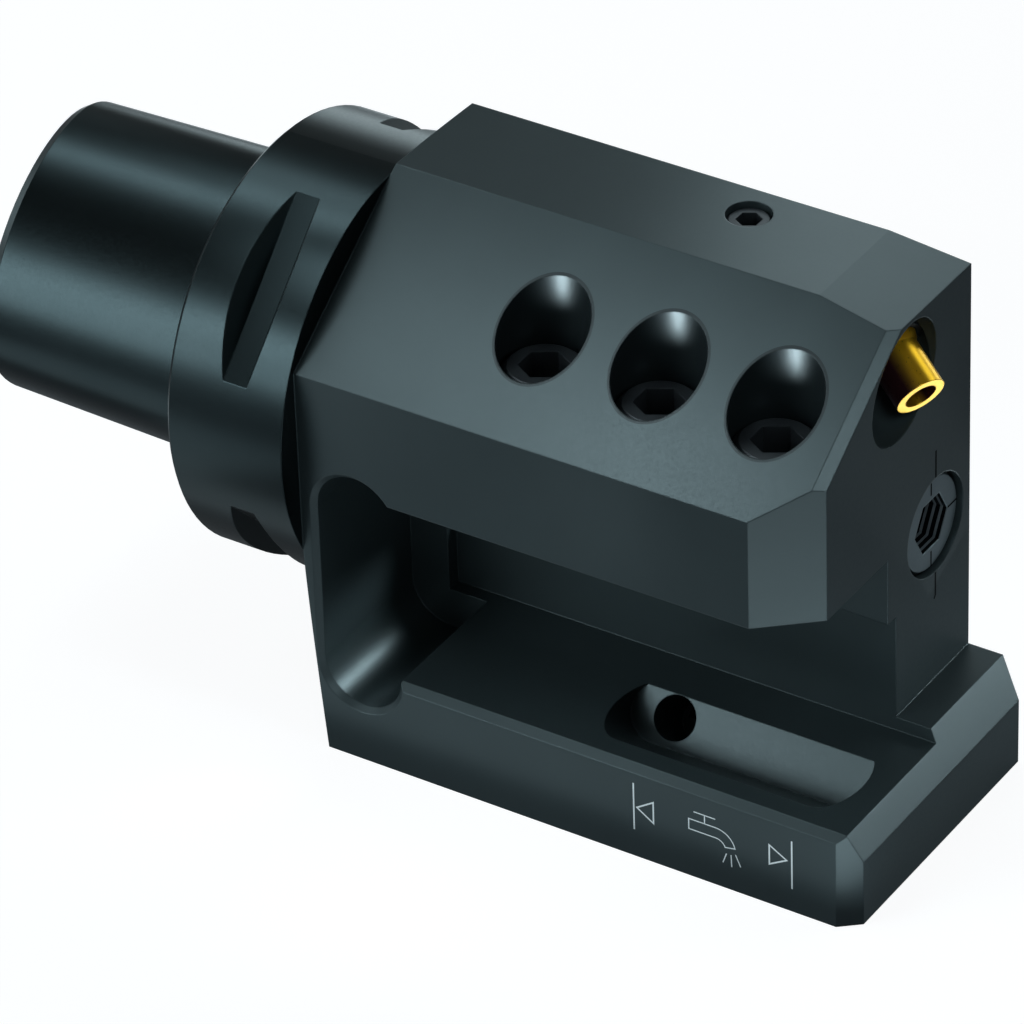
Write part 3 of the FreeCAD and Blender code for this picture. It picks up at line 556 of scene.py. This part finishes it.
def light_bore(where):
    """A small lamp by the near wall of a screw's bore that puts a streak on the far wall."""
    middle, top = (value / MM for value in screw_place(where))
    across = middle.x + STREAK_ACROSS * BORE_RADIUS
    deep = middle.y + STREAK_DEEP * BORE_RADIUS
    aim = (across, deep, top + STREAK_ABOVE_SCREW)
    add_lamp(
        "bore_" + where, aim, ACROSS_BORE, BORE_CHORD, size=(0.0022, 0.007), power=0.00022,
        along=(0.96, -0.28, 0.0), beam=40.0)


def light_block():
    """Near lamps that give the sloped face, the top face and the front end their own shades."""
    add_lamp(
        "slope_middle", (52, -26, 13), OVER_SLOPE, distance=0.10, size=(0.07, 0.04), power=0.0036, beam=60.0)
    add_lamp(
        "slope_front", (92, -30, 9), OVER_SLOPE, distance=0.10, size=(0.05, 0.035), power=0.0016, beam=60.0)
    add_lamp(
        "slope_wide", (72, -18, 18), OVER_SLOPE, distance=0.15, size=(0.08, 0.06), power=0.0010, beam=60.0)
    add_lamp("top_front", (98, 5, 32), OVER_TOP, distance=0.10, size=(0.06, 0.07), power=0.023)
    add_lamp(
        "edge_strip", (97, -17, 16), OVER_STRIP, distance=0.10, size=(0.04, 0.04), power=0.026, along=Y_AXIS)
    add_lamp(
        "base_slope", (104, 0, -38), towards(44, 4), distance=0.14, size=(0.12, 0.02), power=0.0065,
        along=(0.7, -0.7, 0.0), beam=30.0)
    add_lamp(
        "nozzle_rim", (99, 3, 17), BEFORE_RIM, distance=0.03, size=(0.02, 0.02), power=0.00016, along=Y_AXIS,
        beam=40.0)


def light_shank():
    """Lamps whose reflections run along the shank and around the flange."""
    add_lamp("left_strip", (0, 0, 0), towards(238, 21), distance=0.9, size=(0.5, 0.2), power=2.0)
    add_lamp("shank_side", (-25, -20, 8), BESIDE_SHANK, distance=0.3, size=(0.2, 0.06), power=0.19)
    add_lamp("shank_top", (-28, 5, 20), OVER_SHANK, distance=0.25, size=(0.12, 0.04), power=0.10)
    add_lamp("flange_top", (8, 5, 30), OVER_FLANGE, distance=0.25, size=(0.05, 0.045), power=0.034)


def light_pocket():
    """Small lamps in the relief at the pocket's back, for its streak and its rounded rim."""
    add_lamp(
        "into_pocket", (26, -20, -29), ALONG_POCKET, distance=0.0165, size=(0.016, 0.008), power=0.00055,
        along=(0.555, -0.726, 0.41), beam=40.0)
    add_lamp("pocket_edge", (24, -29, -36), BEFORE_POCKET_EDGE, distance=0.05, size=(0.02, 0.02), power=0.003)


def light_back():
    """Lamps behind the object, so that the sides that the photograph hides aren't black."""
    add_lamp("back_right", (40, 0, 0), towards(60, 35), distance=0.9, size=(0.5, 0.4), power=0.9)
    add_lamp("back_left", (40, 0, 0), towards(150, 20), distance=0.9, size=(0.5, 0.3), power=0.45)
    add_lamp("back_wide", (30, 0, 0), towards(100, 6), distance=0.9, size=(0.8, 0.4), power=2.0)
    add_lamp("back_end", (-30, 0, 0), towards(178, 6), distance=0.9, size=(0.5, 0.4), power=1.0)


def add_cards():
    add_card("card_corner", 150, -72, size=(0.08, 0.06), power=0.026)
    add_card("card_foot", 123, -43, size=(0.03, 0.025), power=0.006)
    add_card("card_base", 40, -42, size=(0.14, 0.02), power=0.004)
    add_card("card_shank", -60, -85, size=(0.08, 0.07), power=0.014)
    add_card("card_back", 0, 130, size=(0.2, 0.15), power=0.12)
    add_card("card_end", -170, 80, size=(0.2, 0.2), power=0.10)


add_camera()
add_coolant_marks()
add_index_lines()
add_floor()
add_world()
light_block()
light_shank()
light_pocket()
for where in BORES:
    light_bore(where)
light_back()
add_cards()
scene.view_settings.view_transform = "Standard"
